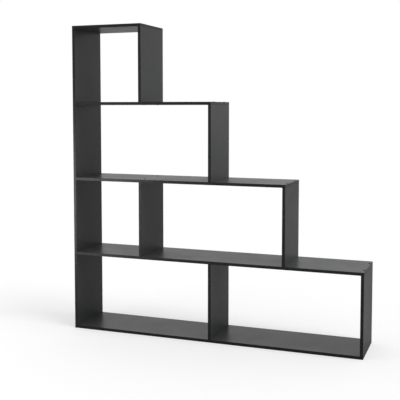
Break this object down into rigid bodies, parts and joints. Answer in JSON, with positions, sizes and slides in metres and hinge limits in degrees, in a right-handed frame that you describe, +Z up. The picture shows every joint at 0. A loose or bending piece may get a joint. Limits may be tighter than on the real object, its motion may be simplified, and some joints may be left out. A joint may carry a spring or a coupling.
{
  "type": "step-shaped open shelving unit",
  "caption": "Free-standing step-shaped open bookcase in grey boards: tiers narrow by one column from floor to top, open front and back.",
  "frame": {"origin": "on the floor, under the middle of the unit's width and depth", "axes": "+X from the tall side to the low end, +Y from front to rear, +Z up"},
  "size_m": [1.5242, 0.286, 1.6002],
  "materials": {
    "melamine_board": "particle board faced with plain anthracite-grey melamine, satin",
    "edge_strip": "thin plastic edge strip, near-black, satin",
    "cover_cap": "moulded plastic, near-black, dull",
    "screw_steel": "zinc-plated steel",
    "dowel_beech": "bare beech"
  },
  "bodies": {
    "root": {"tall_side_panel": "melamine_board", "bottom_panel": "melamine_board", "lower_shelf": "melamine_board", "middle_shelf": "melamine_board", "upper_shelf": "melamine_board", "top_panel": "melamine_board", "top_end_panel": "melamine_board", "upper_end_panel": "melamine_board", "middle_divider": "melamine_board", "middle_end_panel": "melamine_board", "lower_divider": "melamine_board", "lower_end_panel": "melamine_board", "tall_side_panel_edging": "edge_strip", "bottom_panel_edging": "edge_strip", "lower_shelf_edging": "edge_strip", "middle_shelf_edging": "edge_strip", "upper_shelf_edging": "edge_strip", "top_panel_edging": "edge_strip", "top_end_panel_edging": "edge_strip", "upper_end_panel_edging": "edge_strip", "middle_divider_edging": "edge_strip", "middle_end_panel_edging": "edge_strip", "lower_divider_edging": "edge_strip", "lower_end_panel_edging": "edge_strip", "tall_side_panel_dowels": "dowel_beech", "tall_side_panel_screws": "screw_steel", "tall_side_panel_screw_caps": "cover_cap", "top_panel_dowels": "dowel_beech", "top_panel_screws": "screw_steel", "top_panel_screw_caps": "cover_cap", "upper_shelf_dowels": "dowel_beech", "upper_shelf_screws": "screw_steel", "upper_shelf_screw_caps": "cover_cap", "middle_shelf_dowels": "dowel_beech", "middle_shelf_screws": "screw_steel", "middle_shelf_screw_caps": "cover_cap", "lower_shelf_dowels": "dowel_beech", "lower_shelf_screws": "screw_steel", "lower_shelf_screw_caps": "cover_cap", "bottom_panel_dowels": "dowel_beech", "bottom_panel_screws": "screw_steel"}
  },
  "joints": []
}
